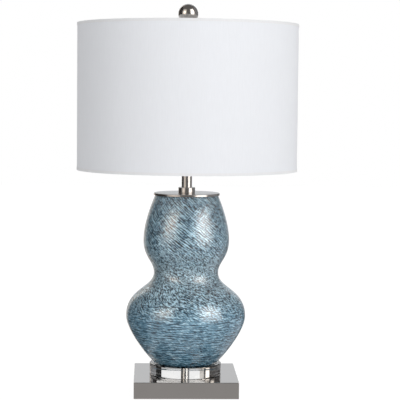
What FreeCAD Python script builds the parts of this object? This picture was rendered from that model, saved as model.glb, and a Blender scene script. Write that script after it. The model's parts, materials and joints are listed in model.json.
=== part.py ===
import FreeCAD, Part
import math
import os

from FreeCAD import Placement, Rotation, Vector

# Double gourd table lamp. Millimetres, +Z up, origin under the middle of the base.
# X runs left to right along the front of the square base, -Y faces the viewer.

# General clearances
SLIP = 0.05          # between pieces of one stack that slide together on assembly
LOOSE = 0.3          # between pieces that only pass each other
RUN = 0.06           # radial running clearance of a turning pin
SWIVEL_PLAY = 0.1    # axial play of the swivel stud
LEVEL = 0.0001       # heights closer than this count as one

# Base
PAD_THICKNESS = 0.8
PAD_INSET = 5.0
BASE_WIDTH = 190.0
BASE_HEIGHT = 29.7
BASE_WALL = 1.2
BASE_CORNER_RADIUS = 1.5
BASE_EDGE_RADIUS = 0.8
COVER_THICKNESS = 2.0
COVER_SCREW_OFFSET = 62.0
COVER_SCREW_RADIUS = 1.75
COVER_SCREW_LENGTH = 11.0
COVER_SCREW_HEAD_RADIUS = 3.3
WEIGHT_WIDTH = 160.0
WEIGHT_THICKNESS = 14.0
WEIGHT_CORNER_RADIUS = 9.0
WEIGHT_EDGE_CHAMFER = 1.5
POST_RADIUS = 7.0
NUT_POCKET_RADIUS = 17.0
NUT_POCKET_DEPTH = 7.0

# Cord inlet in the rear wall of the base
INLET_HEIGHT = 10.2
INLET_BORE_RADIUS = 3.6
INLET_WALL = 1.8
INLET_FLANGE_WIDTH = 1.6
INLET_FLANGE_THICKNESS = 1.2
INLET_LIP_LENGTH = 6.0

# Threaded lamp rod with its nut and washer
ROD_RADIUS = 5.0
ROD_BORE_RADIUS = 3.2
ROD_BELOW_NUT = 2.0
NUT_ACROSS_FLATS = 17.0
NUT_THICKNESS = 4.0
WASHER_RADIUS = 13.0
WASHER_THICKNESS = 1.6

# Crystal disc between two clear pads
DISC_RADIUS = 66.3
DISC_THICKNESS = 20.0
DISC_BEVEL = 1.0
CLEAR_PAD_THICKNESS = 0.4
LOWER_PAD_RADIUS = 60.0
UPPER_PAD_RADIUS = 52.0

# Blown glass gourd: heights are measured from the underside of its foot
GOURD_HEIGHT = 314.2
GOURD_WALL = 4.5
GOURD_FLOOR = 7.0
GOURD_HOLE_RADIUS = 8.5
FOOT_RADIUS = 56.6
FOOT_FLARE_ANGLE = 62.0
FOOT_FLARE_REACH = 10.4
LOWER_BULB_RADIUS = 110.5
LOWER_BULB_HEIGHT = 87.3
LOWER_BULB_DROP = 27.8
LOWER_BULB_RISE = 49.5
WAIST_RADIUS = 59.4
WAIST_HEIGHT = 167.8
WAIST_DROP = 29.8
WAIST_RISE = 20.4
UPPER_BULB_RADIUS = 79.1
UPPER_BULB_HEIGHT = 227.8
UPPER_BULB_DROP = 32.0
UPPER_BULB_RISE = 29.5
MOUTH_RADIUS = 56.9
MOUTH_LEAN_ANGLE = 23.7
MOUTH_LEAN_REACH = 25.2
INNER_CURVE_STEPS = 6
FOOT_BUSH_FLANGE_RADIUS = 14.0
FOOT_BUSH_FLANGE_THICKNESS = 2.0

# Vase cap, its soft ring, the collar and the neck tube
CAP_RADIUS = 61.0
CAP_HEIGHT = 4.4
CAP_SHEET = 1.2
CAP_EDGE_RADIUS = 0.8
SEAT_RING_THICKNESS = 0.5
COLLAR_RADIUS = 15.5
COLLAR_HEIGHT = 10.1
COLLAR_FLOOR = 2.0
COLLAR_BEVEL = 0.8
NECK_RADIUS = 9.525
NECK_WALL = 1.0
NECK_LENGTH = 49.0
CHECK_RING_RADIUS = 10.6
CHECK_RING_THICKNESS = 2.0
CHECK_RING_SPIGOT = 1.5

# Harp saddle, harp, locking sleeves and swivel stud
SADDLE_SHEET = 1.5
SADDLE_HUB_RADIUS = 11.0
SADDLE_STRIP_WIDTH = 12.0
SADDLE_HALF_SPAN = 25.5
SADDLE_BEND_RADIUS = 4.5
SADDLE_SHOULDER_HEIGHT = 8.0
SADDLE_TONGUE_HEIGHT = 12.0
SADDLE_TONGUE_WIDTH = 6.0
HARP_HEIGHT = 241.3
HARP_WIRE_RADIUS = 1.7
HARP_FOOT_HEIGHT = 4.0
HARP_STRAIGHT_HEIGHT = 42.0
HARP_BELLY_HALF_WIDTH = 60.0
HARP_BELLY_LOW = 94.0
HARP_BELLY_HIGH = 186.0
HARP_PEAK_HALF_WIDTH = 13.0
HARP_LOWER_BEND = 55.0
HARP_BELLY_LOW_BEND = 90.0
HARP_BELLY_HIGH_BEND = 48.0
HARP_PEAK_BEND = 14.0
HARP_EYE_RADIUS = 7.0
SLEEVE_HEIGHT = 14.0
SLEEVE_BORE_RADIUS = 4.0
SLEEVE_WALL = 0.8
STUD_PIN_RADIUS = 2.0
STUD_RIVET_RADIUS = 3.6
STUD_RIVET_HEIGHT = 1.2
STUD_SHOULDER_RADIUS = 6.5
STUD_SHOULDER_HEIGHT = 3.0
STUD_THREAD_RADIUS = 3.1
STUD_THREAD_LENGTH = 12.0

# Lamp socket
SOCKET_HUB_RADIUS = 7.5
SOCKET_HUB_HEIGHT = 7.0
SOCKET_CAP_SHEET = 0.8
SOCKET_CAP_FLARE = 9.0
SOCKET_CAP_RIM = 6.0
SOCKET_SHELL_RADIUS = 16.0
SOCKET_SHELL_SHEET = 0.6
SOCKET_HEIGHT = 64.0
SOCKET_BEAD = 0.9
INSULATOR_THICKNESS = 0.5
CORE_HEIGHT = 17.5
CORE_FLAT_OFFSET = 11.5
SWITCH_HEIGHT = 27.5
SWITCH_SHAFT_RADIUS = 2.0
SWITCH_SHAFT_INSIDE = 8.0
SWITCH_HOLE_CLEARANCE = 1.0
KNOB_GAP = 3.0
KNOB_LENGTH = 15.0
KNOB_RADIUS = 6.2
KNOB_TIP_RADIUS = 5.2
KNOB_FLUTES = 12
KNOB_FLUTE_RADIUS = 0.9
KNOB_FLUTE_LENGTH = 10.0
KNOB_TIP_BEVEL = 1.2
SET_SCREW_RADIUS = 1.5
SET_SCREW_LENGTH = 5.5
TERMINAL_SCREW_RADIUS = 2.6
TERMINAL_SCREW_HEAD = 1.6
SCREW_SHELL_RADIUS = 13.8
SCREW_SHELL_SHEET = 0.5
SCREW_SHELL_HEIGHT = 26.0
CONTACT_HOLE_RADIUS = 6.5
CONTACT_SHEET = 0.5
CONTACT_WIDTH = 5.0
CONTACT_LENGTH = 9.0
CONTACT_HEIGHT = 3.0

# Light bulb
BULB_BASE_RADIUS = 13.0
BULB_BASE_HEIGHT = 19.0
BULB_BASE_SHEET = 0.5
BULB_TIP_RADIUS = 4.5
BULB_TIP_HEIGHT = 1.5
BULB_INSULATOR_HEIGHT = 4.0
BULB_INSULATOR_RADIUS = 10.5
BULB_RADIUS = 30.0
BULB_LENGTH = 107.0
BULB_GLASS = 1.0
BULB_NECK_DEPTH = 8.0
BULB_SHOULDER_ANGLE = 20.0

# Drum shade
SHADE_RADIUS = 203.2
SHADE_HEIGHT = 268.4
SPIDER_RECESS = 12.7
SHADE_RING_WIRE = 1.8
TAPE_THICKNESS = 0.5
TAPE_OUTER_LEG = 5.0
TAPE_INNER_LEG = 7.0
FABRIC_THICKNESS = 0.5
LINER_THICKNESS = 0.6
SPOKE_WIRE = 1.6
SPOKE_COUNT = 3
SPOKE_FIRST_ANGLE = 90.0
SPOKE_KNEE_RADIUS = 150.0
SPOKE_BEND = 40.0
SPIDER_WASHER_RADIUS = 15.0
SPIDER_WASHER_THICKNESS = 3.2

# Ball finial
BALL_RADIUS = 18.3
FINIAL_HEIGHT = 46.0
FINIAL_FLANGE_RADIUS = 8.0
FINIAL_FLANGE_HEIGHT = 2.5
FINIAL_NECK_RADIUS = 6.2
INSERT_RADIUS = 4.6
INSERT_HEIGHT = 10.0

# Heights that follow from the sizes above, from the table upwards
base_bottom = PAD_THICKNESS
base_top = base_bottom + BASE_HEIGHT
cover_top = base_bottom + COVER_THICKNESS
weight_top = base_top - BASE_WALL
weight_bottom = weight_top - WEIGHT_THICKNESS
washer_top = weight_bottom + NUT_POCKET_DEPTH
nut_top = washer_top - WASHER_THICKNESS
rod_bottom = nut_top - NUT_THICKNESS - ROD_BELOW_NUT
inlet_z = base_bottom + INLET_HEIGHT
disc_bottom = base_top + CLEAR_PAD_THICKNESS
disc_top = disc_bottom + DISC_THICKNESS
foot_z = disc_top + CLEAR_PAD_THICKNESS
mouth_z = foot_z + GOURD_HEIGHT
cap_top = mouth_z + SEAT_RING_THICKNESS + CAP_SHEET
cap_bottom = cap_top - CAP_HEIGHT
neck_bottom = cap_top + COLLAR_FLOOR
neck_top = neck_bottom + NECK_LENGTH
saddle_z = neck_top + CHECK_RING_THICKNESS
socket_z = saddle_z + SADDLE_SHEET
flare_top = socket_z + SOCKET_HUB_HEIGHT + SOCKET_CAP_FLARE
socket_cap_top = flare_top + SOCKET_CAP_RIM
socket_top = socket_z + SOCKET_HEIGHT
core_bottom = flare_top
core_top = core_bottom + CORE_HEIGHT
switch_z = socket_z + SWITCH_HEIGHT
contact_top = core_top + CONTACT_HEIGHT
rod_top = socket_z + SOCKET_HUB_HEIGHT
bulb_z = contact_top + LOOSE
bulb_base_z = bulb_z + BULB_TIP_HEIGHT + BULB_INSULATOR_HEIGHT
bulb_top = bulb_z + BULB_LENGTH
harp_top = saddle_z + HARP_HEIGHT
stud_seat = harp_top + SWIVEL_PLAY + STUD_SHOULDER_HEIGHT
finial_z = stud_seat + SPIDER_WASHER_THICKNESS
shade_top = stud_seat + SPIDER_RECESS
shade_bottom = shade_top - SHADE_HEIGHT

# Radii of the shade's layers, from the outside inwards
fabric_radius = SHADE_RADIUS - TAPE_THICKNESS - SLIP
liner_radius = fabric_radius - FABRIC_THICKNESS - SLIP
ring_radius = liner_radius - LINER_THICKNESS - SLIP - SHADE_RING_WIRE
tape_bore = ring_radius - SHADE_RING_WIRE - SLIP - TAPE_THICKNESS
top_ring_z = shade_top - TAPE_THICKNESS - SLIP - SHADE_RING_WIRE
bottom_ring_z = shade_bottom + TAPE_THICKNESS + SLIP + SHADE_RING_WIRE

AXIS = Vector(0, 0, 1)
CENTRE = Vector(0, 0, 0)


def at(radius, z):
    """A point of a turned outline, drawn in the XZ plane."""
    return Vector(radius, 0, z)


def turned(edges):
    """Solid made by turning a closed outline about the lamp's axis."""
    face = Part.Face(Part.Wire(edges))
    return face.revolve(CENTRE, AXIS, 360)


def turned_polygon(points):
    """Solid made by turning straight lines through (radius, z) points."""
    corners = [at(r, z) for r, z in points]
    corners.append(corners[0])
    return turned(Part.makePolygon(corners).Edges)


def line(a, b):
    return Part.LineSegment(a, b).toShape()


def curve(start, start_handle, end_handle, end):
    """Smooth curve between two points, with a handle at each."""
    bezier = Part.BezierCurve()
    bezier.setPoles([start, start_handle, end_handle, end])
    return bezier


def ring(bore, radius, z, height):
    """Plain ring or washer."""
    outer = Part.makeCylinder(radius, height, Vector(0, 0, z))
    inner = Part.makeCylinder(bore, height, Vector(0, 0, z))
    return outer.cut(inner)


def square(width, z, height, corner_radius):
    """Square block on the lamp's axis, with rounded upright edges."""
    block = Part.makeBox(width, width, height, Vector(-width / 2, -width / 2, z))
    upright = [e for e in block.Edges if e.BoundBox.ZLength > height - LEVEL]
    return block.makeFillet(corner_radius, upright)


def edges_at(shape, z):
    """Edges of a shape that lie wholly at one height."""
    return [e for e in shape.Edges if e.BoundBox.ZLength < LEVEL and abs(e.BoundBox.ZMin - z) < LEVEL]


def bent_path(points, radii):
    """Straight runs joined by tangent arcs: one radius for each inner point."""
    edges = []
    start = points[0]
    for before, corner, after, radius in zip(points, points[1:], points[2:], radii):
        back = (before - corner).normalize()
        ahead = (after - corner).normalize()
        half_angle = back.getAngle(ahead) / 2
        reach = radius / math.tan(half_angle)
        arc_start = corner + back * reach
        arc_end = corner + ahead * reach
        middle_way = (back + ahead).normalize()
        arc_middle = corner + middle_way * (radius / math.sin(half_angle) - radius)
        edges.append(line(start, arc_start))
        edges.append(Part.Arc(arc_start, arc_middle, arc_end).toShape())
        start = arc_end
    edges.append(line(start, points[-1]))
    return Part.Wire(edges)


def round_wire(path, radius):
    """Round bar swept along a path of runs and arcs."""
    first = path.Edges[0]
    start = first.valueAt(first.FirstParameter)
    direction = first.tangentAt(first.FirstParameter)
    section = Part.Wire(Part.makeCircle(radius, start, direction))
    return path.makePipeShell([section], True, False)


def corner_places():
    """The four screw places of the base."""
    return [(sx * COVER_SCREW_OFFSET, sy * COVER_SCREW_OFFSET) for sx in (-1, 1) for sy in (-1, 1)]


# Base


def felt_pad():
    return square(BASE_WIDTH - 2 * PAD_INSET, 0, PAD_THICKNESS, BASE_CORNER_RADIUS)


def base_shell():
    """Open-bottomed steel box with crisp, just broken edges."""
    outer = square(BASE_WIDTH, base_bottom, BASE_HEIGHT, BASE_CORNER_RADIUS)
    outer = outer.makeFillet(BASE_EDGE_RADIUS, edges_at(outer, base_top))
    inner_width = BASE_WIDTH - 2 * BASE_WALL
    inner = Part.makeBox(
        inner_width,
        inner_width,
        BASE_HEIGHT - BASE_WALL,
        Vector(-inner_width / 2, -inner_width / 2, base_bottom),
    )
    rod_hole = Part.makeCylinder(ROD_RADIUS + LOOSE, BASE_HEIGHT, Vector(0, 0, base_bottom))
    inlet_hole = Part.makeCylinder(
        INLET_BORE_RADIUS + INLET_WALL + SLIP,
        BASE_WIDTH,
        Vector(0, 0, inlet_z),
        Vector(0, 1, 0),
    )
    return outer.cut(inner).cut(rod_hole).cut(inlet_hole)


def base_weight():
    """Cast slab with four screw posts and a pocket for the rod nut."""
    slab = square(WEIGHT_WIDTH, weight_bottom, WEIGHT_THICKNESS, WEIGHT_CORNER_RADIUS)
    slab = slab.makeChamfer(WEIGHT_EDGE_CHAMFER, edges_at(slab, weight_bottom))
    pocket = Part.makeCylinder(NUT_POCKET_RADIUS, NUT_POCKET_DEPTH, Vector(0, 0, weight_bottom))
    rod_hole = Part.makeCylinder(ROD_RADIUS + LOOSE, WEIGHT_THICKNESS, Vector(0, 0, weight_bottom))
    cast = slab.cut(pocket).cut(rod_hole)
    post_height = weight_bottom - cover_top
    for x, y in corner_places():
        cast = cast.fuse(Part.makeCylinder(POST_RADIUS, post_height, Vector(x, y, cover_top)))
    for x, y in corner_places():
        hole_length = base_bottom + COVER_SCREW_LENGTH - cover_top + LOOSE
        hole = Part.makeCylinder(COVER_SCREW_RADIUS + SLIP, hole_length, Vector(x, y, cover_top))
        cast = cast.cut(hole)
    return cast.removeSplitter()


def cover_screw(clearance):
    """Countersunk screw, or the hole it needs, standing on its head."""
    head = COVER_SCREW_HEAD_RADIUS + clearance
    shank = COVER_SCREW_RADIUS + clearance
    cone_top = base_bottom + head - shank
    return turned_polygon(
        [
            (0, base_bottom),
            (head, base_bottom),
            (shank, cone_top),
            (shank, base_bottom + COVER_SCREW_LENGTH),
            (0, base_bottom + COVER_SCREW_LENGTH),
        ]
    )


def cover_screws():
    screws = []
    for x, y in corner_places():
        screw = cover_screw(0)
        screw.translate(Vector(x, y, 0))
        screws.append(screw)
    return Part.makeCompound(screws)


def bottom_cover():
    """Flat steel cover inside the skirt of the base."""
    width = BASE_WIDTH - 2 * BASE_WALL - 2 * LOOSE
    plate = square(width, base_bottom, COVER_THICKNESS, BASE_CORNER_RADIUS)
    for x, y in corner_places():
        hole = cover_screw(SLIP)
        hole.translate(Vector(x, y, 0))
        plate = plate.cut(hole)
    return plate


def cord_bushing():
    """Snap-in bushing: flange outside, neck through the wall, lip inside."""
    neck = INLET_BORE_RADIUS + INLET_WALL
    flange = neck + INLET_FLANGE_WIDTH
    wall_outside = BASE_WIDTH / 2
    wall_inside = wall_outside - BASE_WALL
    lip_end = wall_inside - INLET_LIP_LENGTH
    lip = neck + INLET_FLANGE_WIDTH / 2
    outline = [
        (INLET_BORE_RADIUS, lip_end),
        (neck - INLET_FLANGE_WIDTH / 2, lip_end),
        (lip, wall_inside - INLET_FLANGE_WIDTH),
        (lip, wall_inside),
        (neck, wall_inside),
        (neck, wall_outside),
        (flange, wall_outside),
        (flange - INLET_FLANGE_WIDTH / 2, wall_outside + INLET_FLANGE_THICKNESS),
        (INLET_BORE_RADIUS, wall_outside + INLET_FLANGE_THICKNESS),
    ]
    bushing = turned_polygon(outline)
    bushing.Placement = Placement(Vector(0, 0, inlet_z), Rotation(Vector(1, 0, 0), -90))
    return bushing


# Rod and disc


def threaded_rod():
    return ring(ROD_BORE_RADIUS, ROD_RADIUS, rod_bottom, rod_top - rod_bottom)


def rod_nut():
    corner = NUT_ACROSS_FLATS / math.sqrt(3)
    bottom = nut_top - NUT_THICKNESS
    angles = [math.radians(step * 60) for step in range(7)]
    corners = [Vector(corner * math.cos(a), corner * math.sin(a), bottom) for a in angles]
    hexagon = Part.Face(Part.makePolygon(corners)).extrude(AXIS * NUT_THICKNESS)
    bore = Part.makeCylinder(ROD_RADIUS + SLIP, NUT_THICKNESS, Vector(0, 0, bottom))
    return hexagon.cut(bore)


def rod_washer():
    return ring(ROD_RADIUS + LOOSE, WASHER_RADIUS, nut_top, WASHER_THICKNESS)


def crystal_disc():
    """Thick clear disc with polished bevels."""
    disc = ring(ROD_RADIUS + LOOSE, DISC_RADIUS, disc_bottom, DISC_THICKNESS)
    rims = [e for e in disc.Edges if e.BoundBox.XLength > DISC_RADIUS and e.BoundBox.ZLength < LEVEL]
    return disc.makeChamfer(DISC_BEVEL, rims)


def lower_disc_pad():
    return ring(ROD_RADIUS + LOOSE, LOWER_PAD_RADIUS, base_top, CLEAR_PAD_THICKNESS)


def upper_disc_pad():
    return ring(ROD_RADIUS + LOOSE, UPPER_PAD_RADIUS, disc_top, CLEAR_PAD_THICKNESS)


# Glass gourd


def gourd_curves():
    """Outside of the gourd from mouth to foot: four smooth curves."""
    lean = math.radians(MOUTH_LEAN_ANGLE)
    flare = math.radians(FOOT_FLARE_ANGLE)
    upper_z = foot_z + UPPER_BULB_HEIGHT
    waist_z = foot_z + WAIST_HEIGHT
    lower_z = foot_z + LOWER_BULB_HEIGHT
    mouth = at(MOUTH_RADIUS, mouth_z)
    upper = at(UPPER_BULB_RADIUS, upper_z)
    waist = at(WAIST_RADIUS, waist_z)
    lower = at(LOWER_BULB_RADIUS, lower_z)
    foot = at(FOOT_RADIUS, foot_z)
    mouth_way = at(math.sin(lean), -math.cos(lean))
    foot_way = at(math.sin(flare), math.cos(flare))
    return [
        curve(mouth, mouth + mouth_way * MOUTH_LEAN_REACH, upper + AXIS * UPPER_BULB_RISE, upper),
        curve(upper, upper - AXIS * UPPER_BULB_DROP, waist + AXIS * WAIST_RISE, waist),
        curve(waist, waist - AXIS * WAIST_DROP, lower + AXIS * LOWER_BULB_RISE, lower),
        curve(lower, lower - AXIS * LOWER_BULB_DROP, foot + foot_way * FOOT_FLARE_REACH, foot),
    ]


def inner_curve(curves):
    """Inside of the gourd: the outside moved in by the wall, ending flat on the floor."""
    points = []
    lowest = foot_z + GOURD_FLOOR + GOURD_WALL
    for bezier in curves:
        for step in range(INNER_CURVE_STEPS):
            t = step / INNER_CURVE_STEPS
            along = bezier.tangent(t)[0].normalize()
            inward = at(along.z, -along.x)
            point = bezier.value(t) + inward * GOURD_WALL
            if point.z > lowest:
                points.append(point)
    points[0] = at(points[0].x, mouth_z)
    floor_end = at(FOOT_RADIUS - 2 * GOURD_WALL, foot_z + GOURD_FLOOR)
    inside = Part.BSplineCurve()
    inside.interpolate(points + [floor_end])
    return inside, points[0], floor_end


def gourd_glass():
    curves = gourd_curves()
    outside = [c.toShape() for c in curves]
    inside, inner_mouth, floor_end = inner_curve(curves)
    foot = at(FOOT_RADIUS, foot_z)
    hole_bottom = at(GOURD_HOLE_RADIUS, foot_z)
    hole_top = at(GOURD_HOLE_RADIUS, foot_z + GOURD_FLOOR)
    closing = [
        line(foot, hole_bottom),
        line(hole_bottom, hole_top),
        line(hole_top, floor_end),
        inside.toShape(),
        line(inner_mouth, at(MOUTH_RADIUS, mouth_z)),
    ]
    return turned(Part.sortEdges(outside + closing)[0])


def foot_bushing():
    """Soft bushing that centres the glass on the rod."""
    shank = GOURD_HOLE_RADIUS - SLIP
    bore = ROD_RADIUS + SLIP
    flange_z = foot_z + GOURD_FLOOR
    return turned_polygon(
        [
            (bore, foot_z + LOOSE),
            (shank, foot_z + LOOSE),
            (shank, flange_z),
            (FOOT_BUSH_FLANGE_RADIUS, flange_z),
            (FOOT_BUSH_FLANGE_RADIUS, flange_z + FOOT_BUSH_FLANGE_THICKNESS),
            (bore, flange_z + FOOT_BUSH_FLANGE_THICKNESS),
        ]
    )


# Cap, collar and neck


def cap_seat_ring():
    return ring(MOUTH_RADIUS - GOURD_WALL, MOUTH_RADIUS, mouth_z, SEAT_RING_THICKNESS)


def vase_cap():
    """Spun cap whose skirt hides the cut edge of the glass."""
    inner_top = cap_top - CAP_SHEET
    outer = Part.makeCylinder(CAP_RADIUS, CAP_HEIGHT, Vector(0, 0, cap_bottom))
    outer = outer.makeFillet(CAP_EDGE_RADIUS, edges_at(outer, cap_top))
    hollow = Part.makeCylinder(CAP_RADIUS - CAP_SHEET, inner_top - cap_bottom, Vector(0, 0, cap_bottom))
    hole = Part.makeCylinder(ROD_RADIUS + LOOSE, CAP_HEIGHT, Vector(0, 0, cap_bottom))
    return outer.cut(hollow).cut(hole)


def neck_collar():
    """Turned cup that holds the foot of the neck tube."""
    top = cap_top + COLLAR_HEIGHT
    return turned_polygon(
        [
            (ROD_RADIUS + LOOSE, cap_top),
            (COLLAR_RADIUS, cap_top),
            (COLLAR_RADIUS, top - COLLAR_BEVEL),
            (COLLAR_RADIUS - COLLAR_BEVEL, top),
            (NECK_RADIUS + SLIP, top),
            (NECK_RADIUS + SLIP, neck_bottom),
            (ROD_RADIUS + LOOSE, neck_bottom),
        ]
    )


def neck_tube():
    return ring(NECK_RADIUS - NECK_WALL, NECK_RADIUS, neck_bottom, NECK_LENGTH)


def check_ring():
    """Closes the neck tube and centres it on the rod."""
    spigot = NECK_RADIUS - NECK_WALL - SLIP
    return turned_polygon(
        [
            (ROD_RADIUS + SLIP, neck_top - CHECK_RING_SPIGOT),
            (spigot, neck_top - CHECK_RING_SPIGOT),
            (spigot, neck_top),
            (CHECK_RING_RADIUS, neck_top),
            (CHECK_RING_RADIUS, saddle_z),
            (ROD_RADIUS + SLIP, saddle_z),
        ]
    )


# Harp


def saddle_profile():
    """Side view of the bent strip: flat middle, quarter bends, upright arms."""
    half = SADDLE_HALF_SPAN
    outer = SADDLE_BEND_RADIUS
    inner = outer - SADDLE_SHEET
    corner = math.sqrt(0.5)
    top = saddle_z + SADDLE_SHOULDER_HEIGHT + SADDLE_TONGUE_HEIGHT
    bend_z = saddle_z + outer
    bend_x = half - outer
    edges = []
    for side in (-1, 1):
        outer_mid = at(side * (bend_x + outer * corner), bend_z - outer * corner)
        inner_mid = at(side * (bend_x + inner * corner), bend_z - inner * corner)
        edges.append(Part.Arc(at(side * bend_x, saddle_z), outer_mid, at(side * half, bend_z)).toShape())
        edges.append(line(at(side * half, bend_z), at(side * half, top)))
        edges.append(line(at(side * half, top), at(side * (half - SADDLE_SHEET), top)))
        edges.append(line(at(side * (half - SADDLE_SHEET), top), at(side * (half - SADDLE_SHEET), bend_z)))
        inner_end = at(side * bend_x, saddle_z + SADDLE_SHEET)
        inner_start = at(side * (half - SADDLE_SHEET), bend_z)
        edges.append(Part.Arc(inner_start, inner_mid, inner_end).toShape())
    edges.append(line(at(-bend_x, saddle_z), at(bend_x, saddle_z)))
    edges.append(line(at(-bend_x, saddle_z + SADDLE_SHEET), at(bend_x, saddle_z + SADDLE_SHEET)))
    return Part.Face(Part.Wire(Part.sortEdges(edges)[0]))


def harp_saddle():
    """Bent strip under the socket, with a tongue on each arm for the harp."""
    width = SADDLE_STRIP_WIDTH
    strip = saddle_profile().extrude(Vector(0, width, 0))
    strip.translate(Vector(0, -width / 2, 0))
    shoulder = saddle_z + SADDLE_SHOULDER_HEIGHT
    side_cut = (width - SADDLE_TONGUE_WIDTH) / 2
    for y in (-width / 2, width / 2 - side_cut):
        corner = Vector(-SADDLE_HALF_SPAN, y, shoulder)
        strip = strip.cut(Part.makeBox(2 * SADDLE_HALF_SPAN, side_cut, SADDLE_TONGUE_HEIGHT, corner))
    hub = Part.makeCylinder(SADDLE_HUB_RADIUS, SADDLE_SHEET, Vector(0, 0, saddle_z))
    bore = Part.makeCylinder(ROD_RADIUS + SLIP, SADDLE_SHEET, Vector(0, 0, saddle_z))
    return strip.fuse(hub).cut(bore).removeSplitter()


def harp_foot_x():
    """The wire's foot lies against the outside of the saddle's arm."""
    return SADDLE_HALF_SPAN + SLIP + HARP_WIRE_RADIUS


def harp_bow():
    """Bent wire harp with a pierced flat eye at its peak."""
    wire_top = harp_top - HARP_WIRE_RADIUS
    foot_x = harp_foot_x()
    side = [
        (foot_x, saddle_z + HARP_FOOT_HEIGHT, 0),
        (foot_x, saddle_z + HARP_STRAIGHT_HEIGHT, HARP_LOWER_BEND),
        (HARP_BELLY_HALF_WIDTH, saddle_z + HARP_BELLY_LOW, HARP_BELLY_LOW_BEND),
        (HARP_BELLY_HALF_WIDTH, saddle_z + HARP_BELLY_HIGH, HARP_BELLY_HIGH_BEND),
        (HARP_PEAK_HALF_WIDTH, wire_top, HARP_PEAK_BEND),
    ]
    points = [at(x, z) for x, z, _ in side] + [at(-x, z) for x, z, _ in reversed(side)]
    radii = [r for _, _, r in side[1:]]
    radii = radii + radii[::-1]
    bow = round_wire(bent_path(points, radii), HARP_WIRE_RADIUS)
    eye_height = 2 * HARP_WIRE_RADIUS
    eye_place = Vector(0, 0, harp_top - eye_height)
    eye = Part.makeCylinder(HARP_EYE_RADIUS, eye_height, eye_place)
    hole = Part.makeCylinder(STUD_PIN_RADIUS + RUN, eye_height, eye_place)
    return bow.fuse(eye).cut(hole)


def harp_sleeve(side):
    """Sleeve that drops over tongue and wire and locks them together."""
    middle = SADDLE_HALF_SPAN + HARP_WIRE_RADIUS / 2 - SADDLE_SHEET / 4
    bottom = saddle_z + SADDLE_SHOULDER_HEIGHT + SWIVEL_PLAY
    sleeve = ring(SLEEVE_BORE_RADIUS, SLEEVE_BORE_RADIUS + SLEEVE_WALL, bottom, SLEEVE_HEIGHT)
    sleeve.translate(Vector(side * middle, 0, 0))
    return sleeve


def harp_stud():
    """Swivel stud: riveted pin below, shoulder for the shade, thread for the finial."""
    eye_bottom = harp_top - 2 * HARP_WIRE_RADIUS
    rivet_top = eye_bottom - SWIVEL_PLAY
    shoulder = harp_top + SWIVEL_PLAY
    tip = stud_seat + STUD_THREAD_LENGTH
    bevel = STUD_THREAD_RADIUS / 4
    return turned_polygon(
        [
            (0, rivet_top - STUD_RIVET_HEIGHT),
            (STUD_RIVET_RADIUS, rivet_top - STUD_RIVET_HEIGHT),
            (STUD_RIVET_RADIUS, rivet_top),
            (STUD_PIN_RADIUS, rivet_top),
            (STUD_PIN_RADIUS, shoulder),
            (STUD_SHOULDER_RADIUS, shoulder),
            (STUD_SHOULDER_RADIUS, stud_seat),
            (STUD_THREAD_RADIUS, stud_seat),
            (STUD_THREAD_RADIUS, tip - bevel),
            (STUD_THREAD_RADIUS - bevel, tip),
            (0, tip),
        ]
    )


# Socket


def socket_cap():
    """Cap with a threaded hub, flaring into a cup for the shell."""
    cup = SOCKET_SHELL_RADIUS + SLIP
    outer = cup + SOCKET_CAP_SHEET
    hub_top = socket_z + SOCKET_HUB_HEIGHT
    floor = hub_top + SOCKET_CAP_SHEET
    bore = ROD_RADIUS + SLIP
    flare_out = curve(
        at(SOCKET_HUB_RADIUS, hub_top),
        at(outer - SOCKET_CAP_SHEET, hub_top),
        at(outer, flare_top - SOCKET_CAP_FLARE / 2),
        at(outer, flare_top),
    )
    flare_in = curve(
        at(SOCKET_HUB_RADIUS, floor),
        at(cup - SOCKET_CAP_SHEET, floor),
        at(cup, flare_top - SOCKET_CAP_FLARE / 2),
        at(cup, flare_top),
    )
    edges = [
        line(at(bore, socket_z), at(SOCKET_HUB_RADIUS, socket_z)),
        line(at(SOCKET_HUB_RADIUS, socket_z), at(SOCKET_HUB_RADIUS, hub_top)),
        flare_out.toShape(),
        line(at(outer, flare_top), at(outer, socket_cap_top)),
        line(at(outer, socket_cap_top), at(cup, socket_cap_top)),
        line(at(cup, socket_cap_top), at(cup, flare_top)),
        flare_in.toShape(),
        line(at(SOCKET_HUB_RADIUS, floor), at(bore, floor)),
        line(at(bore, floor), at(bore, socket_z)),
    ]
    hole = Part.makeCylinder(
        SET_SCREW_RADIUS + SLIP,
        SOCKET_HUB_RADIUS,
        Vector(0, 0, socket_z + SOCKET_HUB_HEIGHT / 2),
        Vector(0, 1, 0),
    )
    return turned(Part.sortEdges(edges)[0]).cut(hole)


def socket_set_screw():
    """Small screw through the hub that stops the socket turning on the rod."""
    start = ROD_RADIUS + SLIP
    return Part.makeCylinder(
        SET_SCREW_RADIUS,
        SET_SCREW_LENGTH,
        Vector(0, start, socket_z + SOCKET_HUB_HEIGHT / 2),
        Vector(0, 1, 0),
    )


def switch_hole(radius):
    """Cutter along the switch shaft, from the socket's axis to the front."""
    return Part.makeCylinder(radius, 2 * SOCKET_SHELL_RADIUS, Vector(0, 0, switch_z), Vector(0, -1, 0))


def socket_shell():
    """Drawn shell with a rolled bead at its mouth."""
    outer = SOCKET_SHELL_RADIUS
    inner = outer - SOCKET_SHELL_SHEET
    tube = ring(inner, outer, flare_top, SOCKET_HEIGHT - (flare_top - socket_z))
    bead = Part.makeTorus(inner + SOCKET_BEAD, SOCKET_BEAD, Vector(0, 0, socket_top - SOCKET_BEAD))
    inside = Part.makeCylinder(inner, SOCKET_HEIGHT, Vector(0, 0, flare_top))
    return tube.fuse(bead.cut(inside)).cut(switch_hole(SWITCH_SHAFT_RADIUS + SWITCH_HOLE_CLEARANCE))


def insulator_radius():
    return SOCKET_SHELL_RADIUS - SOCKET_SHELL_SHEET - SLIP


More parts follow.
